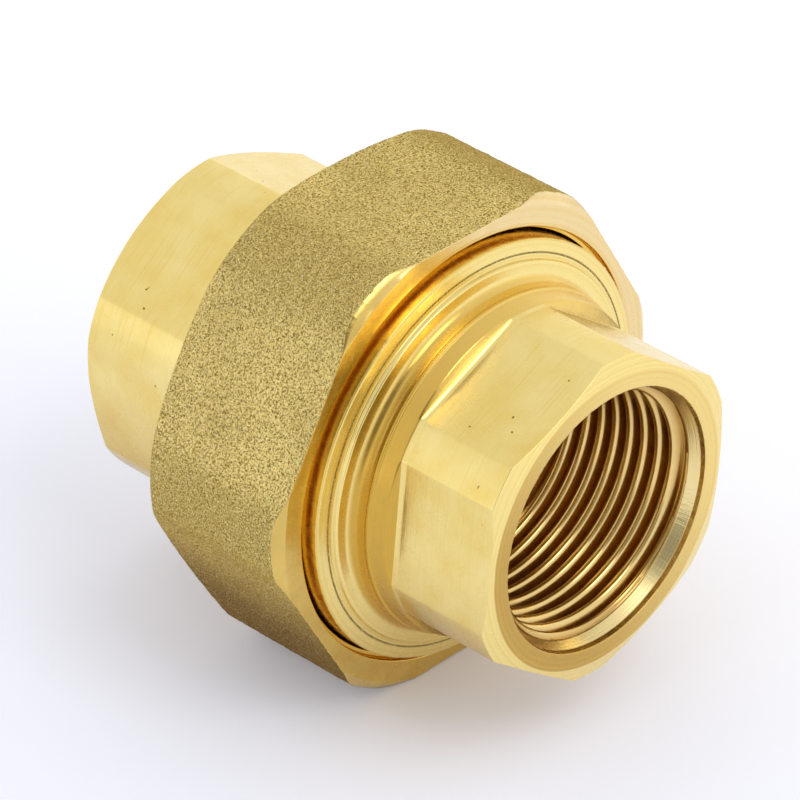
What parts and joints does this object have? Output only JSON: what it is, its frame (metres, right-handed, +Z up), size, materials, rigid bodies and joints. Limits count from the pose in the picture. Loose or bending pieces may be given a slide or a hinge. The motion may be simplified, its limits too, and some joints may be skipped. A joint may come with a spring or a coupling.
{
  "type": "pipe union",
  "caption": "Brass female-female pipe union: threaded body end, swivelling tail end, hexagon union nut and flat gasket.",
  "frame": {"origin": "on the union's axis, half-way between the two mouths, which is the centre of the bounding box at rest", "axes": "+X along the axis, out of the body end's mouth; +Z up, square to the nut's top and bottom flats; +Y towards a corner of the nut"},
  "size_m": [0.0536, 0.0512, 0.047],
  "materials": {
    "machined_brass": "turned and milled, bright, with fine tool lines",
    "milled_brass": "milled flats, satin",
    "cast_brass": "grainy cast flats with a turned front face and bright threads",
    "gasket_fibre": "matt pressed fibre"
  },
  "bodies": {
    "body_end": {"body_end": "machined_brass"},
    "gasket": {"flat_gasket": "gasket_fibre"},
    "tail_end": {"tail_end": "milled_brass"},
    "union_nut": {"union_nut": "cast_brass"}
  },
  "joints": [
    {"name": "seal_opening", "type": "slide", "parent": "body_end", "child": "gasket", "axis": [-1, 0, 0], "range_m": [0, 0.0076]},
    {"name": "nut_turn", "type": "hinge", "parent": "gasket", "child": "union_nut", "pos_m": [0, 0, 0], "axis": [-1, 0, 0], "range_deg": [0, 1170]},
    {"name": "tail_swivel", "type": "hinge", "parent": "gasket", "child": "tail_end", "pos_m": [0, 0, 0], "axis": [-1, 0, 0], "continuous": true}
  ],
  "couplings": [
    {"joint": "seal_opening", "follows": "nut_turn", "m_per_rad": 0.00036749}
  ]
}
